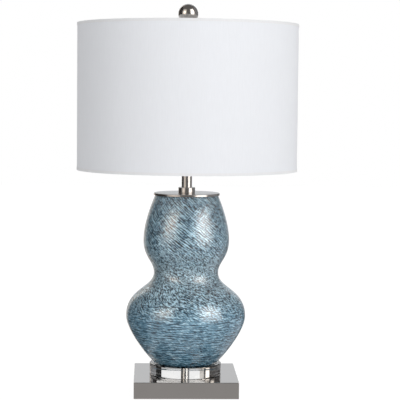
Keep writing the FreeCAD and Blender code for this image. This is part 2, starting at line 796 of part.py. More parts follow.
def socket_insulator():
    """Fibre sleeve between the live parts and the shell."""
    outer = insulator_radius()
    bottom = flare_top + LOOSE
    sleeve = ring(outer - INSULATOR_THICKNESS, outer, bottom, socket_top - LOOSE - bottom)
    return sleeve.cut(switch_hole(SWITCH_SHAFT_RADIUS + SWITCH_HOLE_CLEARANCE))


def socket_core():
    """Moulded body that holds the switch, with flats for the terminal screws."""
    radius = insulator_radius() - INSULATOR_THICKNESS - SLIP
    body = Part.makeCylinder(radius, CORE_HEIGHT, Vector(0, 0, core_bottom))
    flat_height = 4 * TERMINAL_SCREW_RADIUS
    for side in (-1, 1):
        x = side * CORE_FLAT_OFFSET if side > 0 else -CORE_FLAT_OFFSET - radius
        flat = Part.makeBox(radius, 2 * radius, flat_height, Vector(x, -radius, switch_z - flat_height / 2))
        body = body.cut(flat)
        screw_hole = Part.makeCylinder(
            TERMINAL_SCREW_RADIUS / 2 + SLIP,
            CORE_FLAT_OFFSET / 2,
            Vector(side * CORE_FLAT_OFFSET / 2, 0, switch_z),
            Vector(side, 0, 0),
        )
        body = body.cut(screw_hole)
    shaft_bore = Part.makeCylinder(
        SWITCH_SHAFT_RADIUS + RUN,
        radius,
        Vector(0, -(radius - SWITCH_SHAFT_INSIDE) + LOOSE, switch_z),
        Vector(0, -1, 0),
    )
    return body.cut(shaft_bore)


def terminal_screws():
    screws = []
    for side in (-1, 1):
        shank = Part.makeCylinder(
            TERMINAL_SCREW_RADIUS / 2,
            CORE_FLAT_OFFSET / 2 - LOOSE,
            Vector(side * (CORE_FLAT_OFFSET / 2 + LOOSE), 0, switch_z),
            Vector(side, 0, 0),
        )
        head = Part.makeCylinder(
            TERMINAL_SCREW_RADIUS,
            TERMINAL_SCREW_HEAD,
            Vector(side * CORE_FLAT_OFFSET, 0, switch_z),
            Vector(side, 0, 0),
        )
        screws.append(shank.fuse(head).removeSplitter())
    return Part.makeCompound(screws)


def screw_shell():
    """Lamp-holder cup that takes the bulb's base."""
    inner = SCREW_SHELL_RADIUS - SCREW_SHELL_SHEET
    return turned_polygon(
        [
            (CONTACT_HOLE_RADIUS, core_top),
            (SCREW_SHELL_RADIUS, core_top),
            (SCREW_SHELL_RADIUS, core_top + SCREW_SHELL_HEIGHT),
            (inner, core_top + SCREW_SHELL_HEIGHT),
            (inner, core_top + SCREW_SHELL_SHEET),
            (CONTACT_HOLE_RADIUS, core_top + SCREW_SHELL_SHEET),
        ]
    )


def centre_contact():
    """Bent spring strip that meets the tip of the bulb."""
    half = CONTACT_LENGTH / 2
    sheet = CONTACT_SHEET
    lower = [at(-half, core_top), at(half, core_top), at(half, core_top + sheet), at(-half, core_top + sheet)]
    foot = Part.Face(Part.makePolygon(lower + [lower[0]]))
    riser_points = [
        at(half - sheet, core_top + sheet),
        at(half, core_top + sheet),
        at(sheet, contact_top),
        at(-half / 2, contact_top),
        at(-half / 2, contact_top - sheet),
        at(0, contact_top - sheet),
    ]
    riser = Part.Face(Part.makePolygon(riser_points + [riser_points[0]]))
    strip = foot.extrude(Vector(0, CONTACT_WIDTH, 0)).fuse(riser.extrude(Vector(0, CONTACT_WIDTH, 0)))
    strip.translate(Vector(0, -CONTACT_WIDTH / 2, 0))
    return strip.removeSplitter()


def switch_shaft():
    inner_end = insulator_radius() - INSULATOR_THICKNESS - SLIP - SWITCH_SHAFT_INSIDE
    outer_end = SOCKET_SHELL_RADIUS + KNOB_GAP + KNOB_LENGTH / 2
    return Part.makeCylinder(
        SWITCH_SHAFT_RADIUS,
        outer_end - inner_end,
        Vector(0, -inner_end, switch_z),
        Vector(0, -1, 0),
    )


def switch_knob():
    """Tapered knob with flutes round its skirt and a bevelled tip."""
    shaft_end = KNOB_LENGTH / 2
    shaft_stop = shaft_end + LOOSE
    bore = SWITCH_SHAFT_RADIUS + SLIP
    knob = turned_polygon(
        [
            (bore, 0),
            (KNOB_RADIUS, 0),
            (KNOB_TIP_RADIUS, KNOB_LENGTH - KNOB_TIP_BEVEL),
            (KNOB_TIP_RADIUS - KNOB_TIP_BEVEL, KNOB_LENGTH),
            (0, KNOB_LENGTH),
            (0, shaft_stop),
            (bore, shaft_stop),
        ]
    )
    for i in range(KNOB_FLUTES):
        angle = 2 * math.pi * (i + 0.5) / KNOB_FLUTES
        place = Vector(KNOB_RADIUS * math.cos(angle), KNOB_RADIUS * math.sin(angle), 0)
        knob = knob.cut(Part.makeCylinder(KNOB_FLUTE_RADIUS, KNOB_FLUTE_LENGTH, place))
    start = Vector(0, -(SOCKET_SHELL_RADIUS + KNOB_GAP), switch_z)
    knob.Placement = Placement(start, Rotation(Vector(1, 0, 0), 90))
    return knob


# Bulb


def bulb_contact():
    return Part.makeCylinder(BULB_TIP_RADIUS, BULB_TIP_HEIGHT, Vector(0, 0, bulb_z))


def bulb_insulator():
    bottom = bulb_z + BULB_TIP_HEIGHT
    return turned_polygon(
        [
            (0, bottom),
            (BULB_TIP_RADIUS + 2 * LOOSE, bottom),
            (BULB_INSULATOR_RADIUS, bulb_base_z),
            (0, bulb_base_z),
        ]
    )


def bulb_screw_base():
    """Metal cap of the bulb."""
    top = bulb_base_z + BULB_BASE_HEIGHT
    bevel = BULB_BASE_RADIUS - BULB_INSULATOR_RADIUS
    inner = BULB_BASE_RADIUS - BULB_BASE_SHEET
    return turned_polygon(
        [
            (0, bulb_base_z),
            (BULB_INSULATOR_RADIUS, bulb_base_z),
            (BULB_BASE_RADIUS, bulb_base_z + bevel),
            (BULB_BASE_RADIUS, top),
            (inner, top),
            (inner, bulb_base_z + bevel),
            (0, bulb_base_z + bevel),
        ]
    )


def bulb_outline(wall):
    """Half outline of the bulb's glass, moved in by a wall."""
    radius = BULB_RADIUS - wall
    middle_z = bulb_top - BULB_RADIUS
    neck = BULB_BASE_RADIUS - BULB_BASE_SHEET - SLIP - wall
    neck_bottom_z = bulb_base_z + BULB_BASE_HEIGHT - BULB_NECK_DEPTH
    neck_top_z = bulb_base_z + BULB_BASE_HEIGHT + LOOSE
    angle = math.radians(BULB_SHOULDER_ANGLE)
    shoulder = at(radius * math.cos(angle), middle_z - radius * math.sin(angle))
    top = at(0, middle_z + radius)
    pull = (shoulder.z - neck_top_z) / 2
    flank = curve(
        at(neck, neck_top_z),
        at(neck, neck_top_z + pull),
        shoulder - at(math.sin(angle), math.cos(angle)) * pull,
        shoulder,
    )
    return neck, neck_bottom_z, [
        line(at(neck, neck_bottom_z), at(neck, neck_top_z)),
        flank.toShape(),
        Part.Arc(shoulder, at(radius, middle_z), top).toShape(),
    ]


def bulb_globe():
    """Frosted glass envelope, open below inside its metal cap."""
    outer_neck, bottom, outer = bulb_outline(0)
    inner_neck, _, inner = bulb_outline(BULB_GLASS)
    closing = [
        line(at(outer_neck, bottom), at(inner_neck, bottom)),
        line(at(0, bulb_top), at(0, bulb_top - BULB_GLASS)),
    ]
    return turned(Part.sortEdges(outer + inner + closing)[0])


# Shade


def spoke_angles():
    return [SPOKE_FIRST_ANGLE + i * 360 / SPOKE_COUNT for i in range(SPOKE_COUNT)]


def spoke(radius):
    """One wire arm, level over the harp and rising to the top ring."""
    level = stud_seat + SPIDER_WASHER_THICKNESS / 2
    points = [
        at(STUD_THREAD_RADIUS + SPOKE_WIRE + 2 * LOOSE, level),
        at(SPOKE_KNEE_RADIUS, level),
        at(ring_radius, top_ring_z),
    ]
    return round_wire(bent_path(points, [SPOKE_BEND]), radius)


def spider_ring():
    """Top ring of the shade with its three arms and centre washer, welded in one."""
    bore = STUD_THREAD_RADIUS + LOOSE
    washer = ring(bore, SPIDER_WASHER_RADIUS, stud_seat, SPIDER_WASHER_THICKNESS)
    fitter = Part.makeTorus(ring_radius, SHADE_RING_WIRE, Vector(0, 0, top_ring_z))
    for angle in spoke_angles():
        arm = spoke(SPOKE_WIRE - SLIP)
        arm.rotate(CENTRE, AXIS, angle)
        fitter = fitter.fuse(arm)
    return fitter.fuse(washer)


def shade_bottom_ring():
    return Part.makeTorus(ring_radius, SHADE_RING_WIRE, Vector(0, 0, bottom_ring_z))


def shade_liner():
    """Stiff liner that the cloth is laminated to."""
    bottom = shade_bottom + TAPE_THICKNESS + SLIP
    height = SHADE_HEIGHT - 2 * (TAPE_THICKNESS + SLIP)
    return ring(liner_radius - LINER_THICKNESS, liner_radius, bottom, height)


def shade_fabric():
    bottom = shade_bottom + TAPE_THICKNESS + SLIP
    height = SHADE_HEIGHT - 2 * (TAPE_THICKNESS + SLIP)
    return ring(fabric_radius - FABRIC_THICKNESS, fabric_radius, bottom, height)


def edge_tape(edge_z, way):
    """Cloth tape folded over a ring; way is +1 for legs that point up."""
    web = edge_z + way * TAPE_THICKNESS
    outer_end = edge_z + way * TAPE_OUTER_LEG
    inner_end = edge_z + way * TAPE_INNER_LEG
    return turned_polygon(
        [
            (SHADE_RADIUS, edge_z),
            (SHADE_RADIUS, outer_end),
            (SHADE_RADIUS - TAPE_THICKNESS, outer_end),
            (SHADE_RADIUS - TAPE_THICKNESS, web),
            (tape_bore + TAPE_THICKNESS, web),
            (tape_bore + TAPE_THICKNESS, inner_end),
            (tape_bore, inner_end),
            (tape_bore, edge_z),
        ]
    )


def shade_top_tape():
    """Upper tape, slit where the arms pass through its inner leg."""
    tape = edge_tape(shade_top, -1)
    for angle in spoke_angles():
        slit_cutter = spoke(SPOKE_WIRE + LOOSE)
        slit_cutter.rotate(CENTRE, AXIS, angle)
        tape = tape.cut(slit_cutter)
    return tape


def shade_bottom_tape():
    return edge_tape(shade_bottom, 1)


# Finial


def finial_insert():
    """Threaded insert inside the ball."""
    return ring(STUD_THREAD_RADIUS + RUN, INSERT_RADIUS, finial_z, INSERT_HEIGHT)


def finial_ball():
    """Ball on a short flared neck, bored from below for the insert and stud."""
    centre_z = finial_z + FINIAL_HEIGHT - BALL_RADIUS
    neck_z = finial_z + FINIAL_FLANGE_HEIGHT
    join_angle = math.asin(FINIAL_NECK_RADIUS / BALL_RADIUS)
    join = at(FINIAL_NECK_RADIUS, centre_z - BALL_RADIUS * math.cos(join_angle))
    bore = INSERT_RADIUS + SLIP
    bore_top = finial_z + max(INSERT_HEIGHT, STUD_THREAD_LENGTH) + LOOSE
    edges = [
        line(at(bore, finial_z), at(FINIAL_FLANGE_RADIUS, finial_z)),
        line(at(FINIAL_FLANGE_RADIUS, finial_z), at(FINIAL_FLANGE_RADIUS, neck_z)),
        line(at(FINIAL_FLANGE_RADIUS, neck_z), at(FINIAL_NECK_RADIUS, neck_z)),
        line(at(FINIAL_NECK_RADIUS, neck_z), join),
        Part.Arc(join, at(BALL_RADIUS, centre_z), at(0, centre_z + BALL_RADIUS)).toShape(),
        line(at(0, centre_z + BALL_RADIUS), at(0, bore_top)),
        line(at(0, bore_top), at(bore, bore_top)),
        line(at(bore, bore_top), at(bore, finial_z)),
    ]
    return turned(Part.sortEdges(edges)[0])


def harp_sleeve_left():
    return harp_sleeve(-1)


def harp_sleeve_right():
    return harp_sleeve(1)


PIECES = [
    felt_pad,
    base_shell,
    base_weight,
    cover_screws,
    bottom_cover,
    cord_bushing,
    threaded_rod,
    rod_nut,
    rod_washer,
    crystal_disc,
    lower_disc_pad,
    upper_disc_pad,
    gourd_glass,
    foot_bushing,
    cap_seat_ring,
    vase_cap,
    neck_collar,
    neck_tube,
    check_ring,
    harp_saddle,
    harp_bow,
    harp_sleeve_left,
    harp_sleeve_right,
    harp_stud,
    socket_cap,
    socket_set_screw,
    socket_shell,
    socket_insulator,
    socket_core,
    terminal_screws,
    screw_shell,
    centre_contact,
    switch_shaft,
    switch_knob,
    bulb_contact,
    bulb_insulator,
    bulb_screw_base,
    bulb_globe,
    spider_ring,
    shade_bottom_ring,
    shade_liner,
    shade_fabric,
    shade_top_tape,
    shade_bottom_tape,
    finial_insert,
    finial_ball,
]

os.makedirs("parts", exist_ok=True)
for piece in PIECES:
    shape = piece()
    solids = len(shape.Solids)
    print(f"{piece.__name__}: {solids} solid(s), {shape.Volume / 1000:.2f} cm3, valid {shape.isValid()}")
    shape.exportStep(f"parts/{piece.__name__}.step")
print(f"shade {shade_bottom:.1f} to {shade_top:.1f}, top of the ball {finial_z + FINIAL_HEIGHT:.1f}")
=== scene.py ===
import json
import math

import bmesh
import bpy
from mathutils import Matrix, Vector


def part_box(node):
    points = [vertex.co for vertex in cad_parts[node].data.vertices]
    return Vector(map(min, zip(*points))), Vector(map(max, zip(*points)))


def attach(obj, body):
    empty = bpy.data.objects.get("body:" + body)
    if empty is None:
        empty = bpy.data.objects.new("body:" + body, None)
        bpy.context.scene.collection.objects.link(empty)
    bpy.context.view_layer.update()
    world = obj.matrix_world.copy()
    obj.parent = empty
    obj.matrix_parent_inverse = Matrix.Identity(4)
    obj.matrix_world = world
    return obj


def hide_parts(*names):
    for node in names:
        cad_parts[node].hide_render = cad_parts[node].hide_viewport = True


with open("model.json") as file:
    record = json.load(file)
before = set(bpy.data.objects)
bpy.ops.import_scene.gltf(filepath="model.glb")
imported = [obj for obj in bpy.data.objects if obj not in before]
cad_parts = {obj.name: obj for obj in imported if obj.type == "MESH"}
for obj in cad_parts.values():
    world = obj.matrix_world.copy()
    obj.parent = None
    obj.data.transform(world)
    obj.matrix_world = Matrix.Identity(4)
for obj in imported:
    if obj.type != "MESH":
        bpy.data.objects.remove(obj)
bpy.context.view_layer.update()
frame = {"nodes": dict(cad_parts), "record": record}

# Double gourd table lamp. Metres in the frame of the construction, angles in degrees.

MM = 0.001
TURN = 2 * math.pi

# Camera, fitted to the outlines of the photographed lamp; its lens and sensor in millimetres
CAMERA_PLACE = Vector((-0.0727, -2.6408, 0.5447))
CAMERA_HEADING = 2.112
CAMERA_PITCH = 4.134
CAMERA_ROLL = 0.545
CAMERA_LENS = 128.84
CAMERA_SENSOR = 36.0
CAMERA_NEAR = 0.05
CAMERA_FAR = 50.0

# Steps round the axis of turned pieces, steps of their rounded corners, and the angles in degrees
# up to which their faces are shaded as one
FINE_STEPS = 192
PAD_STEPS = 96
SMALL_STEPS = 64
CORNER_STEPS = 6
EDGE_STEPS = 5
EASE_STEPS = 4
SMOOTH_ANGLE = 35.0
CRYSTAL_SMOOTH_ANGLE = 20.0
GLASS_SMOOTH_ANGLE = 50.0
THREAD_SMOOTH_ANGLE = 60.0

# Glass gourd: its wall, the radius of the hole in its floor, and the play that keeps the inner wall
# clear of the rim
GOURD_WALL = 4.5 * MM
GOURD_FLOOR = 7.0 * MM
GOURD_HOLE = 8.5 * MM
INNER_STOP = 1.0 * MM
# Outside of the gourd. Foot and mouth have a radius, and the angle from upright and the reach of
# their curve's handle. Bulbs and waist have a radius, a height above the foot, and the lengths of the
# handles below and above.
FOOT_RADIUS = 56.6 * MM
FOOT_FLARE_ANGLE = 62.0
FOOT_FLARE_REACH = 10.4 * MM
LOWER_BULB = (110.5 * MM, 87.3 * MM, 27.8 * MM, 49.5 * MM)
WAIST = (59.4 * MM, 167.8 * MM, 29.8 * MM, 20.4 * MM)
UPPER_BULB = (79.1 * MM, 227.8 * MM, 32.0 * MM, 29.5 * MM)
MOUTH_RADIUS = 56.9 * MM
MOUTH_LEAN_ANGLE = 23.7
MOUTH_LEAN_REACH = 25.2 * MM
CURVE_STEPS = 22
# Waver of the blown wall, as a share of the radius. Each row holds the lobes round the wall, their
# lean in radians from foot to mouth, and their depth.
BLOWN_WAVER = 0.0012
WAVER_LOBES = ((2, 3.0, 1.0), (3, -5.0, 0.6))

# Cap, collar, neck tube and finial; CAP_HOLD is the narrow flat beside each rounded edge of the cap
PLAY = 0.05 * MM
CAP_SHEET = 1.2 * MM
CAP_EDGE = 1.0 * MM
CAP_ROLL = 0.35 * MM
CAP_HOLD = 0.12 * MM
COLLAR_FLOOR = 2.0 * MM
COLLAR_BEVEL = 0.8 * MM
COLLAR_EASE = 0.3 * MM
NECK_WALL = 1.0 * MM
FINIAL_BORE = 4.65 * MM
FINIAL_BORE_DEPTH = 12.3 * MM
FINIAL_FLANGE = 8.0 * MM
FINIAL_FLANGE_HEIGHT = 2.5 * MM
FINIAL_NECK = 6.2 * MM
FINIAL_EASE = 0.4 * MM
BALL_STEPS = 64
# The ball's arc ends a hair before the pole, where one point closes it
BALL_END = 89.9


def heights(node):
    """Lowest and highest level of a construction piece."""
    low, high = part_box(node)
    return low[2], high[2]


def reach(node):
    """Largest radius of a round construction piece about the lamp's axis."""
    low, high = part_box(node)
    return max(high[1], -low[1])


# Materials


def rgba(colour):
    """Four channels of a colour or a grey; a socket stays as it is."""
    if isinstance(colour, bpy.types.NodeSocket):
        return colour
    if isinstance(colour, (int, float)):
        return (colour, colour, colour, 1.0)
    return tuple(colour) + (1.0,) * (4 - len(colour))


def seen(red, green, blue):
    """Colour given as it looks on a screen, 0 to 255."""
    channels = [c / 255 for c in (red, green, blue)]
    return tuple(c / 12.92 if c <= 0.04045 else ((c + 0.055) / 1.055) ** 2.4 for c in channels)


class Nodes:
    """Short helpers that add and join the nodes of a material or of the world."""

    def __init__(self, tree):
        self.tree = tree

    def feed(self, value, socket):
        """Set a socket to a constant, or join it to a socket of another node."""
        if isinstance(value, bpy.types.NodeSocket):
            self.tree.links.new(value, socket)
        else:
            socket.default_value = value

    def node(self, kind, inputs=None, **settings):
        """New node; inputs are constants or sockets of other nodes, by name or number."""
        made = self.tree.nodes.new("ShaderNode" + kind)
        for key, value in settings.items():
            setattr(made, key, value)
        for key, value in (inputs or {}).items():
            self.feed(value, made.inputs[key])
        return made

    def math(self, operation, a, b=0.0, c=0.0, use_clamp=False):
        """One operation on up to three numbers or sockets."""
        inputs = {0: a, 1: b, 2: c}
        return self.node("Math", inputs, operation=operation, use_clamp=use_clamp).outputs[0]

    def range(self, value, low, high, to_low=0.0, to_high=1.0):
        """A value brought from one range to another, and held at its ends."""
        inputs = {"Value": value, "From Min": low, "From Max": high, "To Min": to_low, "To Max": to_high}
        return self.node("MapRange", inputs, clamp=True).outputs[0]

    def between(self, share, none, whole):
        """A number between two others or two sockets, by a share from 0 to 1."""
        return self.range(share, 0.0, 1.0, none, whole)

    def mix(self, share, a, b, blend="MIX"):
        """Mix of two colours, greys or sockets."""
        made = self.node("Mix", data_type="RGBA", blend_type=blend)
        inputs = {socket.identifier: socket for socket in made.inputs}
        self.feed(share, inputs["Factor_Float"])
        self.feed(rgba(a), inputs["A_Color"])
        self.feed(rgba(b), inputs["B_Color"])
        return next(socket for socket in made.outputs if socket.identifier == "Result_Color")

    def seen_rays(self):
        """One where the eye, a polished surface or clear glass looks, none where light is gathered."""
        path = self.node("LightPath").outputs
        straight = self.math("MAXIMUM", path["Is Camera Ray"], path["Is Glossy Ray"])
        return self.math("MAXIMUM", straight, path["Is Transmission Ray"])

    def mirror_rays(self):
        """One where a polished surface looks, none where its view has passed through glass."""
        path = self.node("LightPath").outputs
        return self.math("SUBTRACT", path["Is Glossy Ray"], path["Is Transmission Ray"], use_clamp=True)


class Paint(Nodes):
    """A material with its shader, and the patterns that lie on the piece."""

    def __init__(self, name):
        self.material = bpy.data.materials.new(name)
        self.material.use_nodes = True
        super().__init__(self.material.node_tree)
        self.shader = self.tree.nodes["Principled BSDF"]
        self.place = None

    def set(self, **values):
        """Constants on the shader's own sockets."""
        for key, value in values.items():
            self.shader.inputs[key.replace("_", " ")].default_value = value

    def link(self, socket, name):
        """A pattern joined to a socket of the shader."""
        self.tree.links.new(socket, self.shader.inputs[name])

    def where(self):
        """Place on the piece, in the lamp's own frame."""
        if self.place is None:
            self.place = self.node("TexCoord").outputs["Object"]
        return self.place

    def round_and_up(self):
        """Angle about the lamp's axis in radians, and height."""
        split = self.node("SeparateXYZ", {0: self.where()}).outputs
        return self.math("ARCTAN2", split["Y"], split["X"]), split["Z"]

    def ring(self, angle, radius, height):
        """Place on a thin ring of that radius, so that a pattern closes round the lamp."""
        across_x = self.math("MULTIPLY", self.math("COSINE", angle), radius)
        across_y = self.math("MULTIPLY", self.math("SINE", angle), radius)
        return self.node("CombineXYZ", {0: across_x, 1: across_y, 2: height}).outputs[0]

    def scaled(self, scale):
        """The place on the piece, stretched for a pattern."""
        return self.node("Mapping", {"Vector": self.where(), "Scale": scale}).outputs[0]

    def noise(self, vector, scale, detail=3.0, roughness=0.5, distortion=0.0):
        """Cloudy noise from 0 to 1; a higher scale is finer."""
        inputs = {"Vector": vector, "Scale": scale, "Detail": detail, "Roughness": roughness}
        inputs["Distortion"] = distortion
        return self.node("TexNoise", inputs).outputs["Fac"]

    def ramp(self, value, stops):
        """Colour by a value; stops are (position, colour)."""
        made = self.node("ValToRGB", {"Fac": value})
        band = made.color_ramp
        while len(band.elements) > 1:
            band.elements.remove(band.elements[-1])
        band.elements[0].position = stops[0][0]
        band.elements[0].color = rgba(stops[0][1])
        for position, colour in stops[1:]:
            band.elements.new(position).color = rgba(colour)
        return made.outputs["Color"]

    def relief(self, height, depth, strength, name="Normal"):
        """Fine surface relief, on the surface or on its clear coat."""
        bump = self.node("Bump", {"Height": height, "Distance": depth, "Strength": strength})
        self.link(bump.outputs[0], name)


# Drawn strands of the glass: how many go round, and their lean in radians for each metre of height
STRANDS_FALLING = 71
STRANDS_RISING = 75
LEAN_FALLING = 17.0
LEAN_RISING = -15.0
LEAN_FLECKS = 15.0
# How fine their wandering is, and how far it goes in radians of the strands' wave
STRAND_STRAY = 150.0
STRAND_WANDER = 12.0
# How far the strands and the flecks are drawn out along their lean: lower is longer
STRAND_DRAW = 0.45
FLECK_DRAW = 0.55
# Level lines round the lower bulb, and their wandering
WATER_PITCH = 4.7 * MM
WATER_STRAY = 230.0
WATER_WANDER = 17.0
# Rings on which the patterns lie: a thinner one makes them longer round the gourd
STRAND_RING = 80 * MM
WATER_RING = 20 * MM
# Heights between which strands pass into flecks, flecks into level lines, and the clear casing thins
FLECKS_START, FLECKS_END = 285 * MM, 235 * MM
WATER_START, WATER_END = 195 * MM, 135 * MM
CASING_START, CASING_END = 225 * MM, 165 * MM
# Colours from the darkest strand to the lightest, each at its share of the pattern, and the brown grains
GLASS_COLOURS = (
    (0.04, seen(8, 28, 42)),
    (0.28, seen(42, 76, 95)),
    (0.50, seen(86, 132, 157)),
    (0.72, seen(137, 183, 208)),
    (0.96, seen(204, 236, 250)),
)
GRAIN_COLOUR = seen(132, 104, 84)


def leaning(paint, angle, height, lean, draw):
    """Place along strands that lean, and the angle from which they set out."""
    turned_angle = paint.math("MULTIPLY_ADD", height, lean, angle)
    return paint.ring(turned_angle, STRAND_RING, paint.math("MULTIPLY", height, draw)), turned_angle


def wandering_waves(paint, vector, stray_scale, wander, phase):
    """Waves whose lines wander by a coarser noise."""
    stray = paint.noise(vector, stray_scale, detail=2.0)
    return paint.math("SINE", paint.math("MULTIPLY_ADD", stray, wander, phase))


def drawn_strands(paint, angle, height, count, lean):
    """Fine strands wound round the lamp's axis that wander, thicken and break, from -1 to 1."""
    vector, turned_angle = leaning(paint, angle, height, lean, STRAND_DRAW)
    phase = paint.math("MULTIPLY", turned_angle, count)
    waves = wandering_waves(paint, vector, STRAND_STRAY, STRAND_WANDER, phase)
    swell = paint.range(paint.noise(vector, 330.0, detail=1.0), 0.36, 0.56, to_low=0.3, to_high=1.8)
    dashes = paint.range(paint.noise(vector, 590.0), 0.40, 0.60, to_low=-1.5, to_high=1.3)
    return paint.math("MULTIPLY_ADD", waves, swell, dashes)


def water_lines(paint, angle, height):
    """Level lines round the lower bulb that waver and part like water, from -1 to 1."""
    vector = paint.ring(angle, WATER_RING, height)
    phase = paint.math("MULTIPLY", height, TURN / WATER_PITCH)
    waves = wandering_waves(paint, vector, WATER_STRAY, WATER_WANDER, phase)
    swell = paint.range(paint.noise(vector, 400.0, detail=1.0), 0.30, 0.65, to_low=0.15, to_high=0.9)
    return paint.math("MULTIPLY_ADD", waves, swell, 0.05)


def strand_pattern(paint, angle, height):
    """Crossed strands above, flecks at the waist and level lines below, from dark to light."""
    falling = drawn_strands(paint, angle, height, STRANDS_FALLING, LEAN_FALLING)
    rising = drawn_strands(paint, angle, height, STRANDS_RISING, LEAN_RISING)
    patches = paint.noise(paint.where(), 30.0, detail=2.0)
    crossed = paint.mix(paint.range(patches, 0.45, 0.62, to_low=0.05, to_high=0.5), falling, rising)
    broken, _ = leaning(paint, angle, height, LEAN_FLECKS, FLECK_DRAW)
    grains = paint.noise(broken, 730.0, detail=0.0, roughness=0.4, distortion=0.2)
    flecks = paint.range(grains, 0.42, 0.58, to_low=-2.5, to_high=2.5)
    fleck_share = paint.range(height, FLECKS_START, FLECKS_END, to_low=0.1, to_high=0.6)
    water_share = paint.range(height, WATER_START, WATER_END, to_low=0.0, to_high=0.85)
    upper = paint.mix(fleck_share, crossed, flecks)
    return paint.mix(water_share, upper, water_lines(paint, angle, height))


def art_glass():
    """Smoky teal glass with fine drawn strands and a few brown grains under a clear casing."""
    paint = Paint("art_glass")
    angle, height = paint.round_and_up()
    pattern = strand_pattern(paint, angle, height)
    blue = paint.ramp(paint.range(pattern, -1.0, 1.0), GLASS_COLOURS)
    grains = paint.range(paint.noise(paint.where(), 520.0, detail=1.0), 0.64, 0.70)
    clusters = paint.range(paint.noise(paint.where(), 17.0, detail=1.0), 0.50, 0.62)
    paint.link(paint.mix(paint.math("MULTIPLY", grains, clusters), blue, GRAIN_COLOUR), "Base Color")
    paint.link(paint.range(pattern, -0.4, 0.9, to_low=0.02, to_high=0.26), "Metallic")
    casing = paint.range(height, CASING_START, CASING_END, to_low=1.0, to_high=0.72)
    paint.link(casing, "Coat Weight")
    paint.set(Roughness=0.33, Coat_Roughness=0.11, Coat_IOR=2.2, IOR=1.5)
    paint.relief(pattern, 0.18 * MM, 0.5)
    paint.relief(pattern, 0.07 * MM, 0.5, "Coat Normal")
    return paint.material


# Spread of the unevenness that a noise gives to a finish
LOW_NOISE, HIGH_NOISE = 0.3, 0.7
# Threads of the cloth: how many go round the drum, and radians of their wave for each metre of height
WARP_THREADS = 1400.0
WEFT_WAVES = 6900.0


def mottled(paint, cloud, colour, darker, most):
    """A colour that a cloud darkens in places."""
    share = paint.range(cloud, LOW_NOISE, HIGH_NOISE, 0.0, most)
    paint.link(paint.mix(share, colour, [c * darker for c in colour]), "Base Color")


def uneven_gloss(paint, cloud, low, high):
    """A roughness that varies with a cloud."""
    paint.link(paint.range(cloud, LOW_NOISE, HIGH_NOISE, low, high), "Roughness")


def nickel(name, tint, roughness, lines=(1, 1, 400), strength=0.25):
    """Satin nickel plate with fine brush lines along one direction."""
    paint = Paint(name)
    grain = paint.noise(paint.scaled(lines), 6.0, detail=4.0)
    paint.set(Metallic=1.0)
    mottled(paint, paint.noise(paint.where(), 30.0), tint, darker=0.88, most=0.25)
    uneven_gloss(paint, grain, roughness * 0.8, roughness * 1.25)
    paint.relief(grain, 0.06 * MM, strength)
    return paint.material


def crystal():
    """Clear optical crystal, polished."""
    paint = Paint("crystal")
    uneven_gloss(paint, paint.noise(paint.where(), 300.0, detail=2.0), 0.0, 0.008)
    paint.set(Base_Color=(0.87, 0.875, 0.87, 1), Transmission_Weight=1.0, IOR=1.5)
    return paint.material


def shade_cloth(name, colour):
    """Fine smooth plain weave."""
    paint = Paint(name)
    angle, height = paint.round_and_up()
    warp = paint.math("SINE", paint.math("MULTIPLY", angle, WARP_THREADS))
    weft = paint.math("SINE", paint.math("MULTIPLY", height, WEFT_WAVES))
    slub = paint.noise(paint.scaled((1, 1, 0.05)), 900.0, detail=2.0)
    shade = paint.range(slub, LOW_NOISE, HIGH_NOISE, 0.97, 1.0)
    paint.link(paint.mix(1.0, colour, shade, "MULTIPLY"), "Base Color")
    paint.set(Roughness=0.9, Sheen_Weight=0.15, Sheen_Roughness=0.4)
    paint.relief(paint.math("MULTIPLY", warp, weft), 0.08 * MM, 0.5)
    return paint.material


def plain(name, colour, roughness, metallic=0.0, grain=200.0, depth=0.05 * MM):
    """Moulded or cast finish with slight unevenness."""
    paint = Paint(name)
    cloud = paint.noise(paint.where(), grain)
    paint.set(Metallic=metallic)
    mottled(paint, cloud, colour, darker=0.85, most=0.3)
    uneven_gloss(paint, cloud, roughness * 0.85, roughness * 1.15)
    paint.relief(cloud, depth, 0.4)
    return paint.material


def frosted_glass():
    """White glass of the bulb, etched inside."""
    paint = Paint("frosted_glass")
    uneven_gloss(paint, paint.noise(paint.where(), 60.0, detail=2.0), 0.3, 0.4)
    paint.set(Base_Color=(0.93, 0.93, 0.92, 1), Subsurface_Weight=0.3, Coat_Weight=0.4, Coat_Roughness=0.1)
    return paint.material


def clear_vinyl():
    """Soft clear pad stock."""
    paint = Paint("clear_vinyl")
    paint.set(Base_Color=(0.97, 0.97, 0.97, 1), Roughness=0.05, Transmission_Weight=1.0, IOR=1.5)
    return paint.material


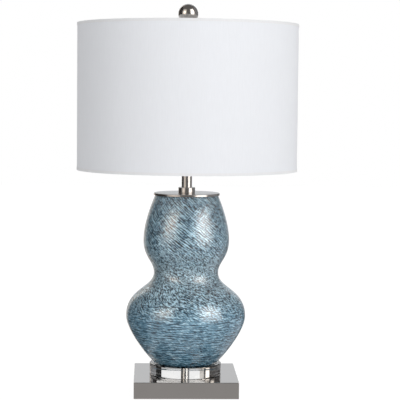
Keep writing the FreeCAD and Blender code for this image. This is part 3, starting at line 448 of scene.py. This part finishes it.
# Finish of every material slot
FINISHES = {
    "felt": plain("felt", (0.012, 0.012, 0.013), 0.95, grain=900.0, depth=0.3 * MM),
    "base_nickel": nickel("base_nickel", (0.61, 0.575, 0.55), 0.09, lines=(3, 300, 300), strength=0.1),
    "cast_iron": plain("cast_iron", (0.05, 0.05, 0.052), 0.7, metallic=0.4, grain=300.0, depth=0.4 * MM),
    "zinc_steel": plain("zinc_steel", (0.93, 0.93, 0.93), 0.35, metallic=1.0),
    "black_nylon": plain("black_nylon", (0.012, 0.012, 0.012), 0.5),
    "crystal": crystal(),
    "clear_vinyl": clear_vinyl(),
    "art_glass": art_glass(),
    "rubber": plain("rubber", (0.02, 0.02, 0.02), 0.7),
    "nickel": nickel("nickel", (0.62, 0.595, 0.575), 0.18),
    "socket_nickel": nickel("socket_nickel", (0.68, 0.66, 0.63), 0.2),
    "fibre": plain("fibre", (0.30, 0.22, 0.13), 0.85),
    "black_phenolic": plain("black_phenolic", (0.015, 0.014, 0.013), 0.35),
    "brass": plain("brass", (0.72, 0.52, 0.24), 0.28, metallic=1.0),
    "bulb_solder": plain("bulb_solder", (0.5, 0.5, 0.48), 0.4, metallic=1.0),
    "black_glass": plain("black_glass", (0.01, 0.01, 0.012), 0.15),
    "bulb_cap": plain("bulb_cap", (0.75, 0.75, 0.75), 0.3, metallic=1.0),
    "frosted_glass": frosted_glass(),
    "white_wire": plain("white_wire", (0.80, 0.80, 0.79), 0.4),
    "styrene": plain("styrene", (0.86, 0.86, 0.86), 0.45),
    "shade_cloth": shade_cloth("shade_cloth", (0.845, 0.86, 0.895)),
    "edge_tape": shade_cloth("edge_tape", (0.83, 0.835, 0.85)),
}
SLOT_OF_NODE = {part["node"]: part["material_slot"] for part in frame["record"]["subparts"]}


def dress_nodes():
    """Give every construction piece the finish of its slot."""
    for name, node in frame["nodes"].items():
        node.data.materials.clear()
        node.data.materials.append(FINISHES[SLOT_OF_NODE[name]])


# Mesh helpers

LAMP_AXIS = {"cent": (0, 0, 0), "axis": (0, 0, 1), "dvec": (0, 0, 0)}
MERGE_DISTANCE = 0.001 * MM


def new_object(bm, name, material):
    """Turn a bmesh into an object of one material."""
    mesh = bpy.data.meshes.new(name)
    bm.to_mesh(mesh)
    bm.free()
    made = bpy.data.objects.new(name, mesh)
    bpy.context.collection.objects.link(made)
    mesh.materials.append(material)
    return made


def finish_piece(bm, name, body, slot, replaced, smooth_angle=SMOOTH_ANGLE):
    """Turn a bmesh into a piece that rides on its body and stands for a node."""
    bmesh.ops.recalc_face_normals(bm, faces=bm.faces)
    piece = new_object(bm, name, FINISHES[slot])
    piece.data.shade_smooth()
    piece.data.set_sharp_from_angle(angle=math.radians(smooth_angle))
    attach(piece, body)
    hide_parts(replaced)
    return piece


def closed_loop(bm, points):
    """Vertices at the points, and the edges that join them in a ring."""
    verts = [bm.verts.new(point) for point in points]
    edges = [bm.edges.new(pair) for pair in zip(verts, verts[1:] + verts[:1])]
    return verts, edges


def turned(outline, steps=FINE_STEPS):
    """Spin a closed (radius, height) outline about the lamp's axis."""
    bm = bmesh.new()
    verts, edges = closed_loop(bm, [(r, 0, z) for r, z in outline])
    bmesh.ops.spin(bm, geom=verts + edges, angle=TURN, steps=steps, use_merge=True, **LAMP_AXIS)
    bmesh.ops.remove_doubles(bm, verts=bm.verts, dist=MERGE_DISTANCE)
    return bm


def bezier(start, start_handle, end_handle, end):
    """Points of a smooth curve, without its last."""
    points = []
    for i in range(CURVE_STEPS):
        t = i / CURVE_STEPS
        s = 1 - t
        weights = (s ** 3, 3 * s * s * t, 3 * s * t * t, t ** 3)
        ends = (start, start_handle, end_handle, end)
        points.append(tuple(sum(w * p[k] for w, p in zip(weights, ends)) for k in (0, 1)))
    return points


def corner_arc(centre_r, centre_z, radius, start, end, steps):
    """Points of an arc in the outline plane, degrees from +radius towards +height."""
    points = []
    for i in range(steps + 1):
        a = math.radians(start + (end - start) * i / steps)
        points.append((centre_r + radius * math.cos(a), centre_z + radius * math.sin(a)))
    return points


# Crystal disc and its pads

DISC_BEVEL = 1.0 * MM
ROD_HOLE = 5.3 * MM
PAD_BORE = 40.0 * MM
PAD_GAP = 0.1 * MM


def crystal_slice():
    """Thick clear disc with polished bevels and a drilled middle."""
    low, high = heights("crystal_disc")
    radius = reach("crystal_disc")
    outline = [
        (ROD_HOLE, low),
        (radius - DISC_BEVEL, low),
        (radius, low + DISC_BEVEL),
        (radius, high - DISC_BEVEL),
        (radius - DISC_BEVEL, high),
        (ROD_HOLE, high),
    ]
    bm = turned(outline)
    finish_piece(bm, "crystal_slice", "lamp_body", "crystal", "crystal_disc", CRYSTAL_SMOOTH_ANGLE)


def clear_pads():
    """Thin clear pads under and over the disc, a hair clear of the polished faces."""
    for name, node in (("lower_clear_pad", "lower_disc_pad"), ("upper_clear_pad", "upper_disc_pad")):
        low, high = heights(node)
        radius = reach(node)
        low, high = low + PAD_GAP, high - PAD_GAP
        outline = [(PAD_BORE, low), (radius, low), (radius, high), (PAD_BORE, high)]
        finish_piece(turned(outline, PAD_STEPS), name, "lamp_body", "clear_vinyl", node)


# Glass body


def gourd_outline():
    """Outside of the gourd from mouth to foot."""
    foot_z, mouth_z = heights("gourd_glass")
    lean = math.radians(MOUTH_LEAN_ANGLE)
    flare = math.radians(FOOT_FLARE_ANGLE)
    mouth = (MOUTH_RADIUS, mouth_z)
    leaned = (MOUTH_RADIUS + MOUTH_LEAN_REACH * math.sin(lean), mouth_z - MOUTH_LEAN_REACH * math.cos(lean))
    stations = [(r, foot_z + z, drop, rise) for r, z, drop, rise in (UPPER_BULB, WAIST, LOWER_BULB)]
    points = []
    start, handle = mouth, leaned
    for r, z, drop, rise in stations:
        points += bezier(start, handle, (r, z + rise), (r, z))
        start, handle = (r, z), (r, z - drop)
    foot = (FOOT_RADIUS, foot_z)
    flared = (FOOT_RADIUS + FOOT_FLARE_REACH * math.sin(flare), foot_z + FOOT_FLARE_REACH * math.cos(flare))
    points += bezier(start, handle, flared, foot)
    return points + [foot]


def moved_in(points, wall):
    """The outline moved inwards by a wall."""
    inner = []
    for before, point, after in zip(points, points[1:], points[2:]):
        along = Vector((after[0] - before[0], after[1] - before[1])).normalized()
        inner.append((point[0] + along.y * wall, point[1] - along.x * wall))
    return inner


def hand_blown(bm):
    """Slight waver of the blown wall, dying out at mouth and foot."""
    foot_z, mouth_z = heights("gourd_glass")
    for vert in bm.verts:
        x, y, z = vert.co
        rise = (z - foot_z) / (mouth_z - foot_z)
        angle = math.atan2(y, x)
        wave = sum(depth * math.sin(lobes * angle + lean * rise) for lobes, lean, depth in WAVER_LOBES)
        swell = 1 + BLOWN_WAVER * wave * math.sin(math.pi * min(max(rise, 0.0), 1.0))
        vert.co = (x * swell, y * swell, z)


def glass_gourd():
    """Blown double gourd: outer wall, mouth, inner wall and pierced floor."""
    outer = gourd_outline()
    foot_z, mouth_z = heights("gourd_glass")
    floor_z = foot_z + GOURD_FLOOR
    inner = [p for p in moved_in(outer, GOURD_WALL) if floor_z + GOURD_WALL < p[1] < mouth_z - INNER_STOP]
    outline = outer + [(GOURD_HOLE, foot_z), (GOURD_HOLE, floor_z), (FOOT_RADIUS - 2 * GOURD_WALL, floor_z)]
    outline += list(reversed(inner)) + [(MOUTH_RADIUS - GOURD_WALL, mouth_z)]
    bm = turned(outline)
    hand_blown(bm)
    finish_piece(bm, "glass_gourd", "lamp_body", "art_glass", "gourd_glass", GLASS_SMOOTH_ANGLE)


# Cap, collar and neck


def spun_cap():
    """Spun metal cap with a rounded rim and a rolled lower edge."""
    low, high = heights("vase_cap")
    radius = reach("vase_cap")
    inner = radius - CAP_SHEET
    outline = [(ROD_HOLE, high), (radius - CAP_EDGE - CAP_HOLD, high)]
    outline += corner_arc(radius - CAP_EDGE, high - CAP_EDGE, CAP_EDGE, 90, 0, CORNER_STEPS)
    outline += [(radius, high - CAP_EDGE - CAP_HOLD), (radius, low + CAP_ROLL + CAP_HOLD)]
    outline += corner_arc(radius - CAP_ROLL, low + CAP_ROLL, CAP_ROLL, 0, -90, EDGE_STEPS)
    outline += corner_arc(inner + CAP_ROLL, low + CAP_ROLL, CAP_ROLL, -90, -180, EDGE_STEPS)
    outline += [(inner, high - CAP_SHEET), (ROD_HOLE, high - CAP_SHEET)]
    finish_piece(turned(outline), "spun_cap", "lamp_body", "nickel", "vase_cap")


def turned_collar():
    """Cup at the foot of the neck with a bevelled lip."""
    low, high = heights("neck_collar")
    radius = reach("neck_collar")
    tube = reach("neck_tube")
    outline = [(ROD_HOLE, low), (radius - COLLAR_EASE, low), (radius, low + COLLAR_EASE)]
    outline += corner_arc(radius - COLLAR_BEVEL, high - COLLAR_BEVEL, COLLAR_BEVEL, 0, 90, CORNER_STEPS)
    outline += [(tube + PLAY, high), (tube + PLAY, low + COLLAR_FLOOR), (ROD_HOLE, low + COLLAR_FLOOR)]
    finish_piece(turned(outline), "turned_collar", "lamp_body", "nickel", "neck_collar")


def neck_pipe():
    """Polished neck tube."""
    low, high = heights("neck_tube")
    radius = reach("neck_tube")
    outline = [(radius - NECK_WALL, low), (radius, low), (radius, high), (radius - NECK_WALL, high)]
    finish_piece(turned(outline), "neck_pipe", "lamp_body", "nickel", "neck_tube")


# Bulb

BULB_CAP_BEVEL = 2.5 * MM
BULB_CAP_WALL = 1.0 * MM
THREAD_DEPTH = 0.55 * MM
THREAD_PITCH = 3.629 * MM
THREAD_TURNS = 4
THREAD_STEPS = 12
THREAD_RUNOUT = 1.5 * MM
# The thread is rolled into what lies this near the outer radius
SKIN = 0.1 * MM


def roll_thread(bm, low, high, wall_radius):
    """Roll a round-crested screw thread into the outer wall of a turned piece."""
    for vert in bm.verts:
        x, y, z = vert.co
        radius = math.hypot(x, y)
        if radius < wall_radius - SKIN or not low < z < high:
            continue
        ease = min(1.0, (z - low) / THREAD_PITCH, (high - z) / THREAD_PITCH)
        turn = z / THREAD_PITCH - math.atan2(y, x) / TURN
        sink = THREAD_DEPTH * ease * (0.5 - 0.5 * math.cos(TURN * turn))
        vert.co = (x * (radius - sink) / radius, y * (radius - sink) / radius, z)


def bulb_cap_thread():
    """Thin metal cap of the bulb, rolled into a screw thread."""
    low, high = heights("bulb_screw_base")
    radius = reach("bulb_screw_base")
    inner = radius - BULB_CAP_WALL
    start = low + BULB_CAP_BEVEL
    steps = THREAD_TURNS * THREAD_STEPS
    outline = [(0, low), (radius - BULB_CAP_BEVEL, low), (radius, start)]
    outline += [(radius, start + (high - start) * i / steps) for i in range(1, steps + 1)]
    outline += [(inner, high), (inner, start), (0, start)]
    bm = turned(outline, SMALL_STEPS)
    roll_thread(bm, start, high - THREAD_RUNOUT, radius)
    finish_piece(bm, "bulb_cap_thread", "bulb", "bulb_cap", "bulb_screw_base", THREAD_SMOOTH_ANGLE)


# Shade and finial

CLOTH = 0.5 * MM
LAP_ANGLE = math.radians(2.4)
LAP_RISE = 0.32 * MM
LAP_STEPS = 4
SHADE_STEPS = 256


def lay_lap(bm, low, high, radius):
    """Lap of the cloth in one upright seam at the back, which thins out to its free edge."""
    corners = [(radius, low), (radius + LAP_RISE, low), (radius + LAP_RISE, high), (radius, high)]
    verts, edges = closed_loop(bm, [(0, r, z) for r, z in corners])
    face = bm.faces.new(verts)
    made = bmesh.ops.spin(bm, geom=[face] + edges + verts, angle=-LAP_ANGLE, steps=LAP_STEPS, **LAMP_AXIS)
    for item in made["geom_last"]:
        if isinstance(item, bmesh.types.BMVert) and item.co.xy.length > radius + LAP_RISE / 2:
            item.co.xy = item.co.xy.normalized() * (radius + LAP_RISE / 8)


def shade_cloth_sheet():
    """Cloth laminated round the drum and lapped at the back."""
    low, high = heights("shade_fabric")
    radius = reach("shade_fabric")
    outline = [(radius - CLOTH, low), (radius, low), (radius, high), (radius - CLOTH, high)]
    bm = turned(outline, SHADE_STEPS)
    lay_lap(bm, low, high, radius)
    piece = finish_piece(bm, "shade_cloth_sheet", "shade", "shade_cloth", "shade_fabric")


def ball_finial():
    """Polished ball on a short neck and flange."""
    low, high = heights("finial_ball")
    radius = reach("finial_ball")
    join = math.degrees(math.asin(FINIAL_NECK / radius))
    rim = FINIAL_FLANGE - FINIAL_EASE
    flange_top = low + FINIAL_FLANGE_HEIGHT
    outline = [(FINIAL_BORE, low)]
    outline += corner_arc(rim, low + FINIAL_EASE, FINIAL_EASE, -90, 0, EASE_STEPS)
    outline += corner_arc(rim, flange_top - FINIAL_EASE, FINIAL_EASE, 0, 90, EASE_STEPS)
    outline += [(FINIAL_NECK, flange_top)]
    outline += corner_arc(0, high - radius, radius, join - 90, BALL_END, BALL_STEPS)[:-1]
    outline += [(0, high), (0, low + FINIAL_BORE_DEPTH), (FINIAL_BORE, low + FINIAL_BORE_DEPTH)]
    finish_piece(turned(outline), "ball_finial", "finial", "nickel", "finial_ball")


# Stage: camera, world, floor, cards and lights


def build_camera():
    """Camera at the photograph's place, turned to its heading, pitch and roll."""
    camera = bpy.data.cameras.new("camera")
    camera.lens = CAMERA_LENS
    camera.sensor_width = CAMERA_SENSOR
    camera.clip_start = CAMERA_NEAR
    camera.clip_end = CAMERA_FAR
    holder = bpy.data.objects.new("camera", camera)
    bpy.context.collection.objects.link(holder)
    turn = Matrix.Rotation(math.radians(-CAMERA_HEADING), 4, "Z")
    tip = Matrix.Rotation(math.radians(90 - CAMERA_PITCH), 4, "X")
    roll = Matrix.Rotation(math.radians(CAMERA_ROLL), 4, "Z")
    holder.matrix_world = Matrix.Translation(CAMERA_PLACE) @ turn @ tip @ roll
    bpy.context.scene.camera = holder


# Strength of the world as a light and in polished surfaces; to the eye and through glass it is one
WORLD_LIGHT = 0.55
WORLD_MIRRORED = 0.73
WORLD_WHITE = (1.0, 1.0, 1.0)
MIRRORED_TINT = (0.93, 0.965, 1.0)


def build_world():
    """White all round to the eye and through glass, cooler and dimmer in metal, softer as a light."""
    world = bpy.data.worlds.new("studio")
    world.use_nodes = True
    bpy.context.scene.world = world
    nodes = Nodes(world.node_tree)
    background = nodes.tree.nodes["Background"].inputs
    mirrored = nodes.mirror_rays()
    nodes.feed(nodes.mix(mirrored, WORLD_WHITE, MIRRORED_TINT), background["Color"])
    shown = nodes.between(mirrored, 1.0, WORLD_MIRRORED)
    nodes.feed(nodes.between(nodes.seen_rays(), WORLD_LIGHT, shown), background["Strength"])


# The floor lies a hair under the felt. It glows a little, so that it looks white with a faint shadow,
# and polished surfaces see only a dimmer glow.
FLOOR_SIZE = 6.0
FLOOR_LEVEL = -0.3 * MM
FLOOR_PAINT = 0.9
FLOOR_GLOW = 1.16
FLOOR_GLOW_SHARE = 0.8
FLOOR_MIRRORED = 0.38


def build_floor():
    """White floor that keeps a faint shadow of the lamp."""
    paint = Paint("floor")
    paint.set(Base_Color=rgba(FLOOR_PAINT), Roughness=0.9, Specular_IOR_Level=0.0)
    mirrored = paint.mirror_rays()
    strength = paint.between(mirrored, FLOOR_GLOW, FLOOR_MIRRORED)
    glow = paint.node("Emission", {"Color": rgba(1.0), "Strength": strength}).outputs[0]
    glow_share = paint.between(mirrored, FLOOR_GLOW_SHARE, 1.0)
    share = paint.math("MULTIPLY", paint.seen_rays(), glow_share)
    blend = paint.node("MixShader", {0: share, 1: paint.shader.outputs[0], 2: glow})
    paint.feed(blend.outputs[0], paint.tree.nodes["Material Output"].inputs["Surface"])
    bm = bmesh.new()
    bmesh.ops.create_grid(bm, x_segments=1, y_segments=1, size=FLOOR_SIZE)
    bmesh.ops.translate(bm, verts=bm.verts, vec=(0, 0, FLOOR_LEVEL))
    new_object(bm, "floor", paint.material)


CARD_DISTANCE = 3.0
CARD_TOP = 4.0
CARD_STEP = 6.0
APRON_START = 0.145
APRON_LEVEL = 1.5 * MM
# Reflector cards round the lamp: from and to, in degrees to the right of the camera,
# the card's brightness, its apron's brightness on the floor or None, and the tint of both
CARDS = (
    ("grey_left", -165.6, -160.2, 0.60, 0.60, (1.0, 0.94, 0.88)),
    ("slot_left", -160.2, -157.4, 0.05, 0.05, (1.0, 0.95, 0.92)),
    ("beige_left", -157.4, -151.0, 1.5, 1.4, (1.0, 0.92, 0.84)),
    ("flag_left", -151.0, -74.0, 0.05, 0.07, (1.0, 0.93, 0.90)),
    ("soft_left", -70.0, -24.0, 0.72, None, (1.0, 0.93, 0.84)),
    ("room", -24.0, 27.0, 0.13, None, (1.0, 0.98, 0.96)),
    ("soft_right", 30.0, 72.0, 2.6, None, (1.0, 0.95, 0.90)),
    ("flag_right", 72.0, 85.0, 0.12, None, (1.0, 1.0, 1.0)),
    ("grey_right", 85.0, 135.9, 0.26, 0.50, (0.97, 0.97, 1.0)),
    ("black_right", 135.9, 148.8, 0.015, 0.015, (1.0, 1.0, 1.0)),
)
# Soft boxes before the cards: from and to, bottom and top, brightness and tint
BOX_DISTANCE = 2.9
BOXES = (
    ("box_left_low", -58.0, -32.0, 0.2, 0.9, 1.2, (1.0, 0.90, 0.80)),
    ("box_left", -58.0, -32.0, 0.9, 2.4, 2.8, (1.0, 0.88, 0.76)),
    ("box_right_low", 34.0, 62.0, 0.2, 0.9, 2.4, (1.0, 0.97, 0.93)),
    ("box_right", 34.0, 62.0, 0.9, 2.4, 3.9, (1.0, 0.97, 0.93)),
)
# Ceiling over the cards, drawn in to a small hole over the lamp
CEILING_LEVEL = 0.15
CEILING_TINT = (1.0, 0.96, 0.93)
CEILING_HOLE = 10 * MM


def glowing_card(name, tint, brightness):
    """Card stock that sends out its own even light and mirrors nothing."""
    paint = Paint(name)
    paint.set(Base_Color=rgba(0.0), Roughness=0.9, Specular_IOR_Level=0.0)
    paint.set(Emission_Color=rgba(tint), Emission_Strength=brightness)
    return paint.material


def card_piece(name, start, end, brightness, tint, first, last):
    """Curved strip from start to end degrees, drawn from its first to its last (radius, height)."""
    bm = bmesh.new()
    steps = max(2, int((end - start) // CARD_STEP))
    row = []
    for i in range(steps + 1):
        a = math.radians(start + (end - start) * i / steps)
        row.append(bm.verts.new((first[0] * math.sin(a), -first[0] * math.cos(a), first[1])))
    edges = [bm.edges.new(pair) for pair in zip(row, row[1:])]
    raised = bmesh.ops.extrude_edge_only(bm, edges=edges)
    for item in raised["geom"]:
        if isinstance(item, bmesh.types.BMVert):
            way = item.co.xy.normalized() * last[0]
            item.co = (way.x, way.y, last[1])
    card = new_object(bm, name, glowing_card(name, tint, brightness))
    card.visible_camera = False
    card.visible_diffuse = False
    card.visible_shadow = False
    card.visible_volume_scatter = False


def build_cards():
    """Curved cards, their aprons, boxes and ceiling, which only shiny surfaces and clear glass see."""
    foot = (CARD_DISTANCE, APRON_LEVEL)
    rim = (CARD_DISTANCE, CARD_TOP)
    for name, start, end, brightness, on_floor, tint in CARDS:
        card_piece(name, start, end, brightness, tint, foot, rim)
        if on_floor is not None:
            card_piece(name + "_apron", start, end, on_floor, tint, (APRON_START, APRON_LEVEL), foot)
    for name, start, end, bottom, top, brightness, tint in BOXES:
        card_piece(name, start, end, brightness, tint, (BOX_DISTANCE, bottom), (BOX_DISTANCE, top))
    card_piece("ceiling", -180.0, 180.0, CEILING_LEVEL, CEILING_TINT, rim, (CEILING_HOLE, CARD_TOP))


# Soft lights: place and watts
LIGHTS = (
    ("key_right", (1.45, -2.51, 1.4), 33.0),
    ("side_right", (2.51, 1.45, 1.4), 6.0),
    ("fill_left", (-1.9, -2.2, 1.2), 7.5),
)
LIGHT_AIM = Vector((0, 0, 0.4))
LIGHT_WIDTH = 1.2
LIGHT_HEIGHT = 1.8


def build_lights():
    """Rectangular soft lights, aimed at the lamp's middle and unseen in metal and glass."""
    for name, place, watts in LIGHTS:
        light = bpy.data.lights.new(name, "AREA")
        light.shape = "RECTANGLE"
        light.size = LIGHT_WIDTH
        light.size_y = LIGHT_HEIGHT
        light.energy = watts
        holder = bpy.data.objects.new(name, light)
        bpy.context.collection.objects.link(holder)
        holder.location = place
        holder.rotation_euler = (LIGHT_AIM - Vector(place)).to_track_quat("-Z", "Y").to_euler()
        holder.visible_camera = False
        holder.visible_glossy = False
        holder.visible_transmission = False


build_camera()
build_world()
build_floor()
build_cards()
build_lights()
bpy.context.scene.view_settings.view_transform = "Standard"

dress_nodes()
crystal_slice()
clear_pads()
glass_gourd()
spun_cap()
turned_collar()
neck_pipe()
bulb_cap_thread()
shade_cloth_sheet()
ball_finial()
